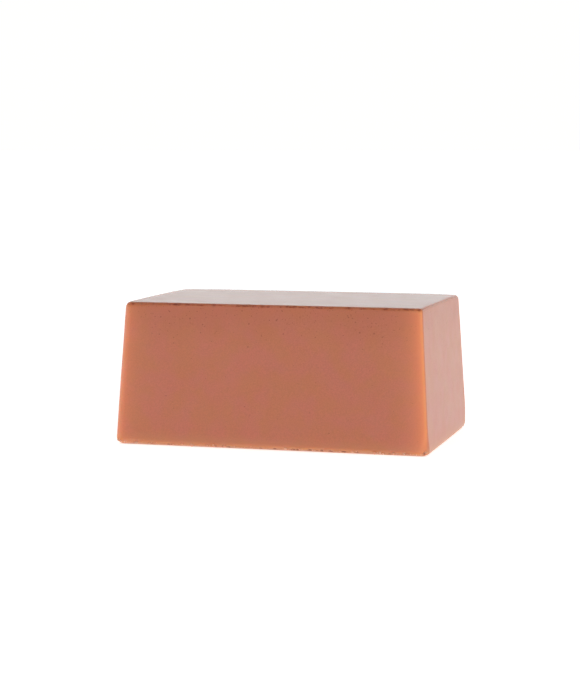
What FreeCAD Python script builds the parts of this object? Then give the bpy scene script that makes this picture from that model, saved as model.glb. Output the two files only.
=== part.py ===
"""Clay bar: one cast block of kneadable clay compound for cleaning car paint.

The compound is poured hot into a mould cavity and tipped out when it has set, so the
block is a frustum. Its four walls lean in towards the face that lay on the mould's
floor, which is the top of the block here. The wide face, where the mould was open, is
the base that it rests on. Nothing is assembled: the bar is the same compound all the way
through, so it is one solid in one node.

Frame: the origin is the centre of the base, +X runs along the bar, +Y across it and +Z
up. Units are millimetres and degrees.
"""

import FreeCAD
import Part

import math
import os

# The block between its flat faces, before any edge is rounded
BASE_LENGTH = 78.0
BASE_WIDTH = 50.7
HEIGHT = 34.6
WALL_DRAFT = 3.5

# Edge radii
UPRIGHT_EDGE_RADIUS = 1.0
TOP_EDGE_RADIUS = 0.8
BASE_EDGE_RADIUS = 1.3

# Density of a clay compound filled with fine mineral abrasive, in g/cm3
COMPOUND_DENSITY = 1.58

MM3_PER_CM3 = 1000.0
SAME_PLACE = 1e-6


def rectangle_at(height, length, width):
    """A closed rectangular wire centred on the Z axis."""
    x = length / 2
    y = width / 2
    corners = [(-x, -y), (x, -y), (x, y), (-x, y), (-x, -y)]
    return Part.makePolygon([FreeCAD.Vector(cx, cy, height) for cx, cy in corners])


def tapered_block():
    """The block with sharp edges: the same draft on all four walls."""
    inset = 2 * HEIGHT * math.tan(math.radians(WALL_DRAFT))
    base = rectangle_at(0.0, BASE_LENGTH, BASE_WIDTH)
    top = rectangle_at(HEIGHT, BASE_LENGTH - inset, BASE_WIDTH - inset)
    solid = True
    ruled = True
    return Part.makeLoft([base, top], solid, ruled)


def edges_in_plane(shape, height):
    """The edges that lie wholly at one height."""

    def lies_there(edge):
        box = edge.BoundBox
        return abs(box.ZMin - height) < SAME_PLACE and abs(box.ZMax - height) < SAME_PLACE

    return [edge for edge in shape.Edges if lies_there(edge)]


def upright_edges(shape):
    """The four edges where two walls meet."""
    return [edge for edge in shape.Edges if edge.BoundBox.ZLength > HEIGHT / 2]


def clay_bar():
    """The whole bar, with its wall, top and base edges rounded in that order."""
    block = tapered_block()
    block = block.makeFillet(UPRIGHT_EDGE_RADIUS, upright_edges(block))
    block = block.makeFillet(TOP_EDGE_RADIUS, edges_in_plane(block, HEIGHT))
    return block.makeFillet(BASE_EDGE_RADIUS, edges_in_plane(block, 0.0))


def main():
    os.makedirs("parts", exist_ok=True)
    bar = clay_bar()
    bar.exportStep("parts/clay_bar.step")

    box = bar.optimalBoundingBox(False)
    volume = bar.Volume / MM3_PER_CM3
    print(f"size {box.XLength:.2f} x {box.YLength:.2f} x {box.ZLength:.2f} mm, valid {bar.isValid()}")
    print(f"volume {volume:.1f} cm3, mass {volume * COMPOUND_DENSITY:.1f} g, solids {len(bar.Solids)}")


main()
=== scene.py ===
"""Looks of the clay bar: one cast block of translucent terracotta compound.

The bar's surface is a fine mesh laid over the CAD block. It carries what casting and
handling leave behind: faces that aren't quite flat, nicks along the long top edges, pits
and crumbs along the base edges, and dimples in the base, where the mould was open.
Lengths are in metres and MM turns millimetres into metres.
"""

import math

import bmesh
import bpy
import numpy as np
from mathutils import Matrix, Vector, noise


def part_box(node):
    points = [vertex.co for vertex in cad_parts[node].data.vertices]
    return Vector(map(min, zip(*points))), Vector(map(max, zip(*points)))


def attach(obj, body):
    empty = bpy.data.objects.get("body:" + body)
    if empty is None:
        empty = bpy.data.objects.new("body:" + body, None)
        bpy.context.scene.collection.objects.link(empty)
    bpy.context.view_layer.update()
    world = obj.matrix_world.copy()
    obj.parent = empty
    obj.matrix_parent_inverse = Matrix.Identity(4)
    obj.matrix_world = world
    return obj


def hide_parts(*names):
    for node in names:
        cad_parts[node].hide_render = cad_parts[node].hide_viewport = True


MM = 0.001

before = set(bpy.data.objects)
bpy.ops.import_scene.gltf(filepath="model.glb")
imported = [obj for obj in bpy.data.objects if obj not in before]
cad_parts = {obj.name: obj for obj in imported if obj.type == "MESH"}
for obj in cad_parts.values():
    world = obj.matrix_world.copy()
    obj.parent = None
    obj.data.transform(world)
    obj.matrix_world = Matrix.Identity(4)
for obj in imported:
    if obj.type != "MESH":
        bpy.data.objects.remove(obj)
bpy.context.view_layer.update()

# The draft and the base edge's radius are the CAD solid's. The top edge is a little sharper
WALL_DRAFT = math.radians(3.5)
TOP_RADIUS = 0.65 * MM
BASE_RADIUS = 1.3 * MM

# Each upright edge: the signs of X and Y in its quarter of the block and then, in
# millimetres, its radius, its radius at the foot, how far the top face sags towards it, and
# how much rounder the top and base edges are there
UPRIGHT_EDGES = (
    dict(quarter=(-1, -1), radius=2.4, foot_radius=2.4, sag=0.05, top_wear=0.9, base_wear=0.5),
    dict(quarter=(1, -1), radius=0.65, foot_radius=2.5, sag=0.12, top_wear=0.1, base_wear=0.0),
    dict(quarter=(1, 1), radius=0.4, foot_radius=2.5, sag=0.2, top_wear=0.5, base_wear=0.9),
    dict(quarter=(-1, 1), radius=1.6, foot_radius=2.4, sag=0.1, top_wear=0.4, base_wear=0.6),
)

# The foot's radius has given way to the edge's own radius at this height
FOOT_HEIGHT = 6.5 * MM

# How far from an upright edge its sag and its wear have fallen to about a third
SAG_REACH = 7.0 * MM
WEAR_REACH = 6.0 * MM

box_low, box_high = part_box("clay_bar")
HEIGHT = box_high.z - box_low.z
# The rounded base edge stays this far inside the corner where wall and base would meet
ROUNDED_AWAY = BASE_RADIUS * (math.tan(WALL_DRAFT) + 1 / math.cos(WALL_DRAFT) - 1)
HALF_LENGTH = (box_high.x - box_low.x) / 2 + ROUNDED_AWAY
HALF_WIDTH = (box_high.y - box_low.y) / 2 + ROUNDED_AWAY
INSET_AT_TOP = HEIGHT * math.tan(WALL_DRAFT)

# Mesh spacing: fine in a band along the edges of the block, and coarse between
FINE_BAND = 3.2 * MM
FINE_STEP = 0.26 * MM
COARSE_STEP = 0.62 * MM

# The block's surface is found on rays that start this deep inside it, by halving them
ANCHOR_DEPTH = 6.0 * MM
HALVINGS = 30

# Smooth noise over the surface: how wide the lumps of each kind are, and their seed
CLOUDS = {
    "swell": (24 * MM, 1),
    "ripple": (6 * MM, 2),
    "ragged": (0.45 * MM, 3),
    "fine": (1.6 * MM, 4),
    "wave": (7 * MM, 5),
    "tooth": (1.1 * MM, 6),
    "torn": (9 * MM, 7),
    "lump": (0.8 * MM, 8),
}

# How far the faces stray from flat, in millimetres: hollow all over, and in three kinds of
# lump. They are least uneven on the mould's floor and most on the poured face
TOP_STRAY = dict(hollow=0.0, swell=0.035, ripple=0.008, fine=0.001)
WALL_STRAY = dict(hollow=0.0, swell=0.06, ripple=0.02, fine=0.003)
BASE_STRAY = dict(hollow=0.08, swell=0.08, ripple=0.04, fine=0.015)

# How uneven the level edges are, in millimetres
TOP_EDGE_DIP = 0.06
TOP_EDGE_TEETH = 0.04
BASE_EDGE_LUMPS = 0.11
BASE_EDGE_TEETH = 0.05

# Marks pressed into the surface, each a bowl with a ragged rim and a flat middle. The depth
# is a share of the radius, and so is the reach of the flat middle
NICKS = dict(count=170, smallest=0.18 * MM, largest=0.65 * MM, depth=0.2)
PITS = dict(count=110, smallest=0.2 * MM, largest=0.55 * MM, depth=0.5)
DIMPLES = dict(count=60, smallest=0.9 * MM, largest=2.2 * MM, depth=0.25)
RAGGEDNESS = 0.45
FLAT_MIDDLE = 0.25

# The dimples keep to this share of the base
DIMPLED_SHARE = 0.92

# Nicks and pits have their full painted shade, which deepens with them, where they are at
# least this deep
NICK_SHADE_DEPTH = 0.1 * MM
PIT_SHADE_DEPTH = 0.18 * MM

# Crumbs: a cluster's spread is a share of the way round the block, and heights and sizes
# are in millimetres
CRUMB_COUNT = 170
CLUSTER_COUNT = 22
CLUSTER_SPREAD = 0.011
CRUMB_HEIGHTS = (0.1, 0.7)
SMALLEST_CRUMB = 0.1
CRUMB_SIZE_RANGE = 0.28
CRUMB_STRETCH = (0.35, 1.35)
CRUMB_ROUGHNESS = 0.8

# How far the painted glow of an upright edge, light through the translucent edge painted into
# the colour, reaches before it has fallen to about a third, and its share on the end walls and
# at the -X end
PAINTED_GLOW_REACH = 2.8 * MM
PAINTED_GLOW_ON_END_WALLS = 0.06
PAINTED_GLOW_AT_MINUS_X = 0.6

rng = np.random.default_rng(1207)


# ---------------------------------------------------------------- the block's surface


def ramp(value, low, high):
    """0 below low, 1 above high and a smooth step between."""
    t = np.clip((value - low) / (high - low), 0, 1)
    return t * t * (3 - 2 * t)


def round_max(a, b, radius):
    """The larger of two distances, with the corner between them rounded."""
    outside = np.hypot(np.maximum(a + radius, 0), np.maximum(b + radius, 0))
    inside = np.minimum(np.maximum(a, b) + radius, 0)
    return outside + inside - radius


def upright_nearness(points, reach):
    """1 on an upright edge, fading with the distance from it along the walls."""
    x, y, z = points.T
    lean = z * math.tan(WALL_DRAFT)
    away = (HALF_LENGTH - lean - np.abs(x)) + (HALF_WIDTH - lean - np.abs(y))
    return np.exp(-np.maximum(away, 0) / reach)


def edge_value(points, name):
    """For each point, a value of the upright edge in its quarter of the block, in metres."""
    values = np.zeros(len(points))
    for edge in UPRIGHT_EDGES:
        side_x, side_y = edge["quarter"]
        here = (points[:, 0] * side_x >= 0) & (points[:, 1] * side_y >= 0)
        values[here] = edge[name] * MM
    return values


def block_distance(points):
    """About how far each point is outside the rounded tapered block."""
    x, y, z = points.T
    lean = z * math.tan(WALL_DRAFT)
    end_wall = (np.abs(x) - (HALF_LENGTH - lean)) * math.cos(WALL_DRAFT)
    side_wall = (np.abs(y) - (HALF_WIDTH - lean)) * math.cos(WALL_DRAFT)
    foot = 1 - ramp(z, 0.0, FOOT_HEIGHT)
    radius = edge_value(points, "radius")
    upright = radius + (edge_value(points, "foot_radius") - radius) * foot
    walls = round_max(end_wall, side_wall, upright)
    corner = upright_nearness(points, WEAR_REACH)
    top_wear = edge_value(points, "top_wear") * corner
    base_wear = edge_value(points, "base_wear") * corner
    topped = round_max(walls, z - HEIGHT, TOP_RADIUS + top_wear)
    return round_max(topped, -z, BASE_RADIUS + base_wear)


def tapered(points):
    """Points of the straight box, moved in with the walls' draft."""
    share = points[:, 2] / HEIGHT
    scale_x = 1 - share * INSET_AT_TOP / HALF_LENGTH
    scale_y = 1 - share * INSET_AT_TOP / HALF_WIDTH
    return np.column_stack([points[:, 0] * scale_x, points[:, 1] * scale_y, points[:, 2]])


def settle(points):
    """Moves points of the straight box onto the rounded tapered block."""
    low = np.array([-HALF_LENGTH, -HALF_WIDTH, 0.0]) + ANCHOR_DEPTH
    high = np.array([HALF_LENGTH, HALF_WIDTH, HEIGHT]) - ANCHOR_DEPTH
    anchors = tapered(np.clip(points, low, high))
    rays = tapered(points) - anchors
    near = np.zeros(len(points))
    far = np.ones(len(points))
    for _ in range(HALVINGS):
        middle = (near + far) / 2
        is_inside = block_distance(anchors + rays * middle[:, None]) < 0
        near = np.where(is_inside, middle, near)
        far = np.where(is_inside, far, middle)
    return anchors + rays * near[:, None]


# ---------------------------------------------------------------- meshes and objects


def graded(low, high):
    """Positions from low to high, close together near both ends."""
    fine = np.arange(0.0, FINE_BAND, FINE_STEP)
    count = round((high - low - 2 * FINE_BAND) / COARSE_STEP)
    middle = np.linspace(low + FINE_BAND, high - FINE_BAND, count + 1)
    return np.concatenate([low + fine, middle, (high - fine)[::-1]])


def split_beside_level_edges(bm):
    """Halves the long mesh edges beside the top and base edges of the straight box."""

    def is_beside(vertex):
        out = max(abs(vertex.co.x) - HALF_LENGTH, abs(vertex.co.y) - HALF_WIDTH)
        up = min(vertex.co.z, HEIGHT - vertex.co.z)
        return out > -FINE_BAND and up < FINE_BAND

    long_edges = [
        edge
        for edge in bm.edges
        if edge.calc_length() > 1.5 * FINE_STEP and all(is_beside(v) for v in edge.verts)
    ]
    bmesh.ops.subdivide_edges(bm, edges=long_edges, cuts=1, use_grid_fill=True)


def box_mesh():
    """The straight box as a closed grid, finest along the level edges."""
    lines = [
        graded(-HALF_LENGTH, HALF_LENGTH),
        graded(-HALF_WIDTH, HALF_WIDTH),
        graded(0.0, HEIGHT),
    ]
    bm = bmesh.new()
    corners = {}

    def corner(index):
        if index not in corners:
            place = [lines[axis][index[axis]] for axis in range(3)]
            corners[index] = bm.verts.new(place)
        return corners[index]

    for axis in range(3):
        u, v = (axis + 1) % 3, (axis + 2) % 3
        for end in (0, len(lines[axis]) - 1):
            for i in range(len(lines[u]) - 1):
                for j in range(len(lines[v]) - 1):
                    ring = []
                    for step_u, step_v in ((0, 0), (1, 0), (1, 1), (0, 1)):
                        index = [0, 0, 0]
                        index[axis] = end
                        index[u] = i + step_u
                        index[v] = j + step_v
                        ring.append(corner(tuple(index)))
                    if end == 0:
                        ring.reverse()
                    bm.faces.new(ring)

    split_beside_level_edges(bm)
    return bm


def mesh_from(bm, name):
    mesh = bpy.data.meshes.new(name)
    bm.to_mesh(mesh)
    bm.free()
    return mesh


def add_object(name, data):
    """A new object of that mesh, lamp or camera, in the scene."""
    made = bpy.data.objects.new(name, data)
    bpy.context.scene.collection.objects.link(made)
    return made


def smooth(mesh):
    mesh.polygons.foreach_set("use_smooth", np.ones(len(mesh.polygons), bool))


def get_points(mesh):
    values = np.empty(len(mesh.vertices) * 3)
    mesh.vertices.foreach_get("co", values)
    return values.reshape(-1, 3)


def get_normals(mesh):
    values = np.empty(len(mesh.vertices) * 3)
    mesh.vertices.foreach_get("normal", values)
    return values.reshape(-1, 3)


def set_points(mesh, points):
    mesh.vertices.foreach_set("co", points.ravel())
    mesh.update()


def set_field(mesh, name, values):
    """A value at each vertex, which a material reads by name."""
    field = mesh.attributes.new(name, "FLOAT", "POINT")
    field.data.foreach_set("value", values.astype(np.float32))


# ---------------------------------------------------------------- parts of the surface


def cloud(points, name):
    """Smooth noise between about -1 and 1, in lumps of that kind."""
    size, seed = CLOUDS[name]
    shift = Vector((seed * 7.31, seed * -3.17, seed * 5.93))
    return np.array([noise.noise(Vector(p) / size + shift) for p in points])


def level_edge_nearness(points, height):
    """1 on the rounded edge at that height, falling to 0 a little under a millimetre away."""
    x, y, z = points.T
    lean = height * math.tan(WALL_DRAFT)
    out = np.maximum(np.abs(x) - (HALF_LENGTH - lean), np.abs(y) - (HALF_WIDTH - lean))
    away = np.hypot(np.minimum(out + 0.3 * MM, 0), z - height)
    return ramp(1 - np.clip(away / (0.9 * MM), 0, 1), 0.0, 1.0)


def long_walls(normals):
    """1 on the two long walls and 0 on the end walls."""
    return ramp(np.abs(normals[:, 1]), 0.3, 0.9)


def top_face(normals):
    return ramp(normals[:, 2], 0.4, 0.95)


def base_face(normals):
    return ramp(-normals[:, 2], 0.4, 0.95)


def ring_point(share, height):
    """A point of the straight box's walls, at a share of the way round them."""
    length = 2 * HALF_LENGTH
    width = 2 * HALF_WIDTH
    walk = (share % 1.0) * 2 * (length + width)
    sides = (
        (length, (-HALF_LENGTH, -HALF_WIDTH), (1, 0)),
        (width, (HALF_LENGTH, -HALF_WIDTH), (0, 1)),
        (length, (HALF_LENGTH, HALF_WIDTH), (-1, 0)),
        (width, (-HALF_LENGTH, HALF_WIDTH), (0, -1)),
    )
    for reach, start, way in sides:
        if walk <= reach:
            return (start[0] + way[0] * walk, start[1] + way[1] * walk, height)
        walk -= reach
    return (-HALF_LENGTH, -HALF_WIDTH, height)


def edge_places(shares, heights):
    """Places on the block's walls, at shares of the way round and at about those heights."""
    heights = np.broadcast_to(heights, len(shares))
    return settle(np.array([ring_point(*pair) for pair in zip(shares, heights)]))


def long_side_shares(count):
    """Random shares of the way round that all lie on the two long sides."""
    one_side = HALF_LENGTH / (HALF_LENGTH + HALF_WIDTH) / 2
    return rng.random(count) * one_side + 0.5 * rng.integers(0, 2, count)


def base_places(count):
    """Random places in the base face."""
    spread = rng.uniform(-DIMPLED_SHARE, DIMPLED_SHARE, (count, 2)) * (HALF_LENGTH, HALF_WIDTH)
    return np.column_stack([spread, np.zeros(count)])


# ---------------------------------------------------------------- the bar


def strayed(amounts, clouds):
    """The clouds added up by those amounts, on top of the hollow."""
    total = amounts["hollow"]
    for name, values in clouds.items():
        total = total + amounts[name] * values
    return total


def unevenness(points, normals, top_rim, torn_rim):
    """How far the surface stands proud of the block, in millimetres."""
    top = top_face(normals)
    base = base_face(normals)
    wall = 1 - top - base
    clouds = {name: cloud(points, name) for name in ("swell", "ripple", "fine")}
    rise = top * strayed(TOP_STRAY, clouds)
    rise += wall * strayed(WALL_STRAY, clouds)
    rise -= base * strayed(BASE_STRAY, clouds)

    # The top edge dips in long waves, and along the long walls it is toothed as well
    dip = TOP_EDGE_DIP * np.maximum(cloud(points, "wave"), 0)
    tooth = np.abs(cloud(points, "tooth"))
    rise -= top_rim * (dip + TOP_EDGE_TEETH * tooth * long_walls(normals))

    # The base edge is lumpy where it was torn
    lump = cloud(points, "lump")
    rise += torn_rim * (BASE_EDGE_LUMPS * lump + BASE_EDGE_TEETH * tooth)
    return rise


def random_radii(marks):
    """A radius for each of the marks, more of them small than large."""
    spread = marks["largest"] - marks["smallest"]
    return marks["smallest"] + spread * rng.random(marks["count"]) ** 2.5


def press(points, normals, centres, marks):
    """Presses a ragged bowl into the surface at each centre. Returns points and bowls."""
    bowls = np.zeros(len(points))
    ragged = 1 + RAGGEDNESS * cloud(points, "ragged")
    for centre, radius in zip(centres, random_radii(marks)):
        near = np.linalg.norm(points - centre, axis=1) * ragged
        bowl = 1 - ramp(near, FLAT_MIDDLE * radius, radius)
        bowls = np.maximum(bowls, bowl * (marks["depth"] * radius))
    return points - normals * bowls[:, None], bowls


def painted_edge_glow(points, normals):
    """How much painted glow, light through the translucent edges painted into the colour, lies
    beside the upright edges.
    """
    at_end = np.where(points[:, 0] > 0, 1.0, PAINTED_GLOW_AT_MINUS_X)
    on_wall = PAINTED_GLOW_ON_END_WALLS + (1 - PAINTED_GLOW_ON_END_WALLS) * long_walls(normals)
    return upright_nearness(points, PAINTED_GLOW_REACH) * (at_end * on_wall)


def make_bar():
    """The cast block, with the fields that its material reads."""
    mesh = mesh_from(box_mesh(), "clay_bar_cast")
    points = settle(get_points(mesh))
    set_points(mesh, points)
    normals = get_normals(mesh)
    top_rim = level_edge_nearness(points, HEIGHT)
    base_rim = level_edge_nearness(points, 0.0)
    torn = ramp(cloud(points, "torn"), -0.1, 0.35)

    rise = unevenness(points, normals, top_rim, base_rim * torn)
    sag = edge_value(points, "sag") * upright_nearness(points, SAG_REACH)
    points = points + normals * (rise * MM)[:, None]
    points[:, 2] -= sag * ramp(points[:, 2], HEIGHT / 2, HEIGHT)

    centres = edge_places(long_side_shares(NICKS["count"]), HEIGHT)
    points, nicks = press(points, normals, centres, NICKS)
    centres = edge_places(rng.random(PITS["count"]), 0.0)
    points, pits = press(points, normals, centres, PITS)
    centres = base_places(DIMPLES["count"])
    points, _ = press(points, normals, centres, DIMPLES)
    points[:, 2] = np.maximum(points[:, 2], 0.0)

    set_points(mesh, points)
    # The painted edge glow that the colour reads: light through the upright edges, painted in
    set_field(mesh, "glow", painted_edge_glow(points, normals))
    set_field(mesh, "long_wall", long_walls(normals))
    set_field(mesh, "top_face", top_face(normals))
    set_field(mesh, "base_rim", base_rim * (0.6 + 0.4 * torn))
    # How deep the nicks and pits are, for their painted shade; the pits' depth also roughens
    # them
    set_field(mesh, "nick", np.clip(nicks / NICK_SHADE_DEPTH, 0, 1))
    set_field(mesh, "pit", np.clip(pits / PIT_SHADE_DEPTH, 0, 1))
    smooth(mesh)
    return add_object("clay_bar_cast", mesh)


def add_crumb(bm, place):
    """One rough, stretched lump, flat where it would reach below the base."""
    size = (SMALLEST_CRUMB + CRUMB_SIZE_RANGE * rng.random() ** 2) * MM
    lump = bmesh.ops.create_icosphere(bm, subdivisions=2, radius=1.0)["verts"]
    stretch = rng.uniform(*CRUMB_STRETCH, 3) * size
    turn = Vector(rng.normal(size=3)).normalized()
    spin = turn.rotation_difference(Vector((0, 0, 1))).to_matrix()
    seed = Vector(rng.uniform(-50, 50, 3))
    for vertex in lump:
        rough = 1 + CRUMB_ROUGHNESS * noise.noise(vertex.co * 1.9 + seed)
        scaled = Vector(a * b for a, b in zip(vertex.co * rough, stretch))
        vertex.co = spin @ scaled + Vector(place)
        vertex.co.z = max(vertex.co.z, 0.0)


def make_crumbs():
    """Crumbs of the same compound, stuck where the base edge was torn and trimmed."""
    clusters = long_side_shares(CLUSTER_COUNT)
    near = rng.choice(clusters, CRUMB_COUNT)
    shares = near + rng.normal(0.0, CLUSTER_SPREAD, CRUMB_COUNT)
    heights = rng.uniform(*CRUMB_HEIGHTS, CRUMB_COUNT) * MM
    bm = bmesh.new()
    for place in edge_places(shares, heights):
        add_crumb(bm, place)
    mesh = mesh_from(bm, "edge_crumbs")
    smooth(mesh)
    return add_object("edge_crumbs", mesh)


# ---------------------------------------------------------------- materials


class Nodes:
    """Short calls that add and join the nodes of one material."""

    def __init__(self, name):
        self.material = bpy.data.materials.new(name)
        self.material.use_nodes = True
        self.tree = self.material.node_tree
        self.shader = self.tree.nodes["Principled BSDF"]

    def add(self, kind, **settings):
        node = self.tree.nodes.new(kind)
        for key, value in settings.items():
            setattr(node, key, value)
        return node

    def put(self, socket, value):
        if isinstance(value, bpy.types.NodeSocket):
            self.tree.links.new(value, socket)
        else:
            socket.default_value = value

    def math(self, operation, a, b=0.0, clamp=False):
        node = self.add("ShaderNodeMath", operation=operation, use_clamp=clamp)
        self.put(node.inputs[0], a)
        self.put(node.inputs[1], b)
        return node.outputs[0]

    def between(self, value, low, high):
        """0 where value is at low, 1 at high, with a smooth step."""
        node = self.add("ShaderNodeMapRange", interpolation_type="SMOOTHSTEP")
        self.put(node.inputs["Value"], value)
        self.put(node.inputs["From Min"], low)
        self.put(node.inputs["From Max"], high)
        return node.outputs["Result"]

    def mix(self, share, a, b):
        node = self.add("ShaderNodeMix", data_type="RGBA")
        self.put(node.inputs["Factor"], share)
        self.put(node.inputs[6], a)
        self.put(node.inputs[7], b)
        return node.outputs[2]

    def tinted(self, body, tint, where, strength):
        """The body colour, turned towards the tint by that strength where that value is 1."""
        return self.mix(self.math("MULTIPLY", where, strength), body, tint)

    def field(self, name):
        return self.add("ShaderNodeAttribute", attribute_name=name).outputs["Fac"]

    def millimetres(self):
        """The point on the surface, in millimetres in the bar's own frame."""
        place = self.add("ShaderNodeTexCoord").outputs["Object"]
        node = self.add("ShaderNodeVectorMath", operation="SCALE")
        self.put(node.inputs[0], place)
        node.inputs["Scale"].default_value = 1 / MM
        return node.outputs[0]

    def axis(self, place, name):
        node = self.add("ShaderNodeSeparateXYZ")
        self.put(node.inputs[0], place)
        return node.outputs[name]

    def noise(self, place, size, detail=2.0, roughness=0.5):
        """Noise from 0 to 1, in lumps about size millimetres wide."""
        node = self.add("ShaderNodeTexNoise")
        self.put(node.inputs["Vector"], place)
        node.inputs["Scale"].default_value = 1 / size
        node.inputs["Detail"].default_value = detail
        node.inputs["Roughness"].default_value = roughness
        return node.outputs["Fac"]

    def wobbled(self, place, size, reach):
        """The place, moved by up to that reach along each axis, in lumps about size wide."""
        node = self.add("ShaderNodeTexNoise")
        self.put(node.inputs["Vector"], place)
        node.inputs["Scale"].default_value = 1 / size
        step = self.add("ShaderNodeVectorMath", operation="MULTIPLY_ADD")
        self.put(step.inputs[0], node.outputs["Color"])
        step.inputs[1].default_value = (reach, reach, reach)
        self.put(step.inputs[2], place)
        return step.outputs[0]

    def specks(self, place, spacing, radius, share):
        """1 inside small round grains, where only a share of the grains is there."""
        node = self.add("ShaderNodeTexVoronoi", feature="F1")
        self.put(node.inputs["Vector"], place)
        node.inputs["Scale"].default_value = 1 / spacing
        split = self.add("ShaderNodeSeparateColor")
        self.put(split.inputs[0], node.outputs["Color"])
        edge = radius / spacing
        spot = self.between(node.outputs["Distance"], edge * 1.25, edge * 0.7)
        chosen = self.math("LESS_THAN", split.outputs[0], share)
        return self.math("MULTIPLY", spot, chosen)


def colour(red, green, blue):
    return (red, green, blue, 1.0)


BROWN_BODY = colour(0.62, 0.220, 0.108)
PINK_BODY = colour(0.64, 0.212, 0.136)
BODY_GRAIN = colour(0.45, 0.15, 0.078)
# Painted shade: darker and redder high on the walls, where less light reaches
PAINTED_UPPER_SHADE = colour(0.52, 0.162, 0.082)
# Painted light from the lit table below, yellower near the base
PAINTED_TABLE_LIGHT = colour(0.56, 0.262, 0.128)
# Painted glow: orange light through the translucent edges, painted into the colour on top of
# the real subsurface light
PAINTED_EDGE_GLOW = colour(0.93, 0.355, 0.160)
DARK_GRAIN = colour(0.22, 0.045, 0.022)
PALE_GRAIN = colour(0.85, 0.5, 0.36)
DARK_LINE = colour(0.23, 0.024, 0.016)
# Painted shade in the nicks, darker where they are deeper
PAINTED_NICK_SHADE = colour(0.20, 0.045, 0.03)
RUBBED_EDGE = colour(0.37, 0.23, 0.155)
# Painted shade in the pits of the base edge, darker where they are deeper
PAINTED_PIT_SHADE = colour(0.16, 0.04, 0.03)
PALE_CRUMB = colour(0.88, 0.52, 0.36)
RED_CRUMB = colour(0.74, 0.34, 0.21)

COMPOUND_IOR = 1.44

# How far red light goes into the compound, and how far red, green and blue go as shares
LIGHT_REACH = 5.0 * MM
LIGHT_SHARES = (1.0, 0.67, 0.33)

# Three sizes of dark grain: spacing and radius in millimetres, and strength
DARK_GRAINS = ((1.7, 0.20, 0.5), (0.95, 0.145, 0.45), (0.62, 0.11, 0.4))

# The dark line along the long top edges, in millimetres: how far below the top it is where
# it sags least, how far it sags, and how far from its middle it is full and has faded
LINE_DEPTH = 0.24
LINE_SAG = 0.35
LINE_FULL = 0.05
LINE_FADED = 0.23


def upper_part(n, place):
    """1 high on the walls, down to an uneven limit, and a quarter of that on the top face. It
    marks where shade is painted and where dark grains crowd.
    """
    uneven = n.math("MULTIPLY", n.noise(place, size=7.0), 7.0)
    near_top = n.between(n.math("ADD", n.axis(place, "Z"), uneven), 27.0, 38.0)
    off_top = n.math("SUBTRACT", 1.0, n.math("MULTIPLY", n.field("top_face"), 0.75))
    return n.math("MULTIPLY", near_top, off_top)


def body_colour(n, place, upper):
    """Cloudy: pinker in some places and browner in others, finely grained, with painted shade
    that makes it darker and redder high on the walls.
    """
    cloudiness = n.between(n.noise(place, size=6.0), 0.34, 0.66)
    body = n.mix(cloudiness, BROWN_BODY, PINK_BODY)
    grain = n.between(n.noise(place, size=0.32, roughness=0.7), 0.3, 0.7)
    body = n.tinted(body, BODY_GRAIN, where=grain, strength=0.4)
    # Painted shade high on the walls
    return n.tinted(body, PAINTED_UPPER_SHADE, where=upper, strength=0.5)


def with_grains(n, place, upper, body):
    """Dark grains, mostly in the upper part, and a few pale ones."""
    crowd = n.math("ADD", n.math("MULTIPLY", upper, 0.6), 0.018)
    ragged = n.wobbled(place, size=0.25, reach=0.3)
    for spacing, radius, strength in DARK_GRAINS:
        dark = n.specks(ragged, spacing, radius, share=crowd)
        body = n.tinted(body, DARK_GRAIN, where=dark, strength=strength)
    pale = n.specks(ragged, spacing=2.3, radius=0.16, share=0.06)
    return n.tinted(body, PALE_GRAIN, where=pale, strength=0.35)


def with_light(n, place, body):
    """Painted light: a little yellower towards the base, where the table lights it from below,
    and a painted orange glow where light comes through an edge.
    """
    # Painted light from the table below: a little yellower up to about 4 mm above the base
    painted_table_light_mask = n.between(n.axis(place, "Z"), 4.0, 0.5)
    body = n.tinted(body, PAINTED_TABLE_LIGHT, where=painted_table_light_mask, strength=0.6)
    # Painted glow beside the upright edges, where light comes through the compound
    return n.tinted(body, PAINTED_EDGE_GLOW, where=n.field("glow"), strength=0.95)


def top_line(n, place):
    """A broken line where the top face turns over into the long walls, off the glow."""
    sag = n.math("MULTIPLY", n.noise(place, size=0.9, detail=3.0), LINE_SAG)
    lowered = n.math("ADD", n.axis(place, "Z"), sag)
    below = n.math("SUBTRACT", HEIGHT / MM - LINE_DEPTH, lowered)
    line = n.between(n.math("ABSOLUTE", below), LINE_FADED, LINE_FULL)
    dashes = n.between(n.noise(place, size=1.8, detail=4.0, roughness=0.75), 0.46, 0.63)
    line = n.math("MULTIPLY", line, n.math("ADD", n.math("MULTIPLY", dashes, 0.65), 0.04))
    line = n.math("MULTIPLY", line, n.field("long_wall"))
    off_glow = n.math("SUBTRACT", 1.0, n.field("glow"), clamp=True)
    return n.math("MULTIPLY", line, off_glow)


def with_edge_marks(n, place, body):
    """The dark line and nicks of the top edge, and the rubbed base edge with its pits, with
    painted shade in the nicks and pits.
    """
    body = n.mix(top_line(n, place), body, DARK_LINE)
    # Painted shade in the nicks here and in the pits below, by their depth
    body = n.tinted(body, PAINTED_NICK_SHADE, where=n.field("nick"), strength=0.5)
    body = n.tinted(body, RUBBED_EDGE, where=n.field("base_rim"), strength=0.65)
    return n.tinted(body, PAINTED_PIT_SHADE, where=n.field("pit"), strength=0.75)


def clay_roughness(n, place):
    """The top face is glossy, where it set on the mould's floor, and the walls are satin."""
    cloudy = n.math("MULTIPLY", n.noise(place, size=4.0, detail=3.0), 0.12)
    rough = n.math("ADD", cloudy, 0.25)
    rough = n.math("SUBTRACT", rough, n.math("MULTIPLY", n.field("top_face"), 0.14))
    return n.math("ADD", rough, n.math("MULTIPLY", n.field("pit"), 0.3))


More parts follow.
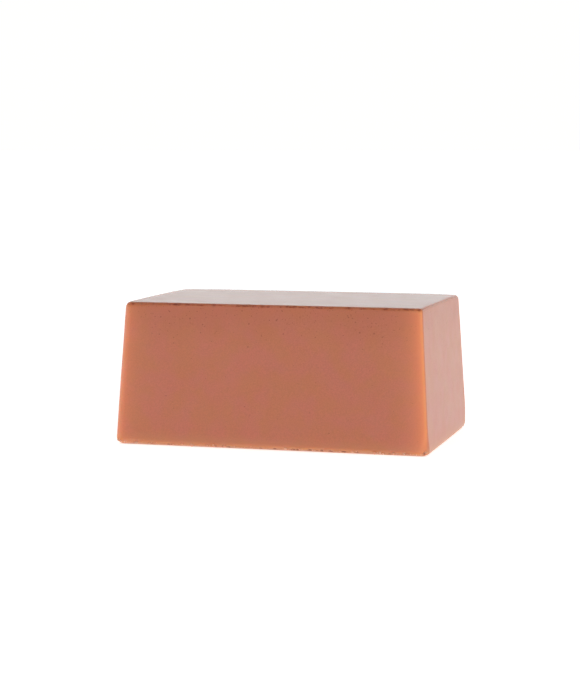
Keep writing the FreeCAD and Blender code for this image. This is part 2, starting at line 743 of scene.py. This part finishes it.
def fine_bumps(n, place):
    bump = n.add("ShaderNodeBump")
    bump.inputs["Strength"].default_value = 0.025
    bump.inputs["Distance"].default_value = 0.1 * MM
    n.put(bump.inputs["Height"], n.noise(place, size=0.4, detail=3.0, roughness=0.6))
    return bump.outputs[0]


def clay_material():
    n = Nodes("clay_compound")
    place = n.millimetres()
    upper = upper_part(n, place)
    body = body_colour(n, place, upper)
    body = with_grains(n, place, upper, body)
    body = with_light(n, place, body)
    body = with_edge_marks(n, place, body)
    n.put(n.shader.inputs["Base Color"], body)
    n.put(n.shader.inputs["Roughness"], clay_roughness(n, place))
    n.put(n.shader.inputs["Normal"], fine_bumps(n, place))
    n.shader.inputs["IOR"].default_value = COMPOUND_IOR
    n.shader.inputs["Subsurface Weight"].default_value = 1.0
    n.shader.inputs["Subsurface Radius"].default_value = LIGHT_SHARES
    n.shader.inputs["Subsurface Scale"].default_value = LIGHT_REACH
    return n.material


def crumb_material():
    """The compound in crumbs, paler than the bar and without its painted edge glow."""
    n = Nodes("clay_crumbs")
    place = n.millimetres()
    patches = n.between(n.noise(place, size=1.2), 0.4, 0.6)
    n.put(n.shader.inputs["Base Color"], n.mix(patches, PALE_CRUMB, RED_CRUMB))
    rough = n.math("ADD", n.math("MULTIPLY", n.noise(place, size=0.3), 0.2), 0.45)
    n.put(n.shader.inputs["Roughness"], rough)
    n.shader.inputs["IOR"].default_value = COMPOUND_IOR
    return n.material


# ---------------------------------------------------------------- studio


TABLE_RADIUS = 40.0
TABLE_TONES = (colour(0.86, 0.86, 0.85), colour(0.89, 0.89, 0.88))
TABLE_GLOW = 0.77

# How far in under the bar the table's own light starts to fade and is out, in millimetres
GLOW_FADES = 0.4
GLOW_OUT = 2.7

# The studio is at its brightest up to the first height and at its dimmest from the second.
# A height is the sine of the angle above the table
WORLD_STRENGTH = 1.02
WORLD_SHADES = (
    (0.14, colour(0.99, 0.985, 0.975)),
    (0.42, colour(0.29, 0.29, 0.29)),
)

SOFTBOX_DISTANCE = 0.7
SOFTBOX_WIDTH = 0.7
SOFTBOX_HEIGHT = 0.3


def floor_material():
    """A pale table that is lit from below, except under the bar."""
    n = Nodes("light_table")
    place = n.millimetres()
    n.put(n.shader.inputs["Base Color"], n.mix(n.noise(place, size=60.0), *TABLE_TONES))
    n.shader.inputs["Roughness"].default_value = 0.7
    n.shader.inputs["Specular IOR Level"].default_value = 0.2
    n.shader.inputs["Emission Color"].default_value = colour(1.0, 1.0, 1.0)
    out_x = n.math("SUBTRACT", n.math("ABSOLUTE", n.axis(place, "X")), HALF_LENGTH / MM)
    out_y = n.math("SUBTRACT", n.math("ABSOLUTE", n.axis(place, "Y")), HALF_WIDTH / MM)
    clear = n.between(n.math("MAXIMUM", out_x, out_y), -GLOW_OUT, -GLOW_FADES)
    n.put(n.shader.inputs["Emission Strength"], n.math("MULTIPLY", clear, TABLE_GLOW))
    return n.material


def make_floor():
    bm = bmesh.new()
    bmesh.ops.create_circle(bm, cap_ends=True, segments=96, radius=TABLE_RADIUS)
    floor = add_object("floor", mesh_from(bm, "floor"))
    floor.data.materials.append(floor_material())


def make_world():
    """A white studio: bright all round at the height of the table, dimmer overhead."""
    world = bpy.data.worlds.new("studio")
    world.use_nodes = True
    tree = world.node_tree
    background = tree.nodes["Background"]
    direction = tree.nodes.new("ShaderNodeTexCoord")
    axes = tree.nodes.new("ShaderNodeSeparateXYZ")
    shades = tree.nodes.new("ShaderNodeValToRGB")
    tree.links.new(direction.outputs["Generated"], axes.inputs[0])
    tree.links.new(axes.outputs["Z"], shades.inputs[0])
    tree.links.new(shades.outputs["Color"], background.inputs["Color"])
    background.inputs["Strength"].default_value = WORLD_STRENGTH
    for stop, (height, shade) in zip(shades.color_ramp.elements, WORLD_SHADES):
        stop.position = height
        stop.color = shade
    bpy.context.scene.world = world


def softbox(name, direction, glow):
    """A soft lamp that faces the bar and leaves no glint. Glow is its brightness."""
    middle = Vector((0.0, 0.0, HEIGHT / 2))
    data = bpy.data.lights.new(name, "AREA")
    data.shape = "RECTANGLE"
    data.size = SOFTBOX_WIDTH
    data.size_y = SOFTBOX_HEIGHT
    data.energy = glow * math.pi * SOFTBOX_WIDTH * SOFTBOX_HEIGHT
    lamp = add_object(name, data)
    way = Vector(direction).normalized()
    lamp.location = middle + way * SOFTBOX_DISTANCE
    lamp.rotation_mode = "QUATERNION"
    lamp.rotation_quaternion = (-way).to_track_quat("-Z", "Y")
    lamp.visible_glossy = False


def make_camera():
    azimuth = math.radians(15.43)
    elevation = math.radians(6.01)
    look = Vector((
        -math.sin(azimuth) * math.cos(elevation),
        math.cos(azimuth) * math.cos(elevation),
        -math.sin(elevation),
    ))
    data = bpy.data.cameras.new("camera")
    data.sensor_width = 36.0
    data.lens = 98.12
    camera = add_object("camera", data)
    camera.location = Vector((124.0 * MM, -454.3 * MM, 71.6 * MM))
    camera.rotation_mode = "QUATERNION"
    camera.rotation_quaternion = look.to_track_quat("-Z", "Y")
    bpy.context.scene.camera = camera


# ---------------------------------------------------------------- putting it together


make_camera()
make_floor()
make_world()
softbox("right_softbox", direction=(1.0, 0.1, 0.22), glow=0.46)
softbox("left_softbox", direction=(-1.0, 0.15, 0.22), glow=1.8)
bpy.context.scene.view_settings.view_transform = "Standard"

bar = make_bar()
bar.data.materials.append(clay_material())
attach(bar, "root")
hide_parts("clay_bar")

crumbs = make_crumbs()
crumbs.data.materials.append(crumb_material())
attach(crumbs, "root")
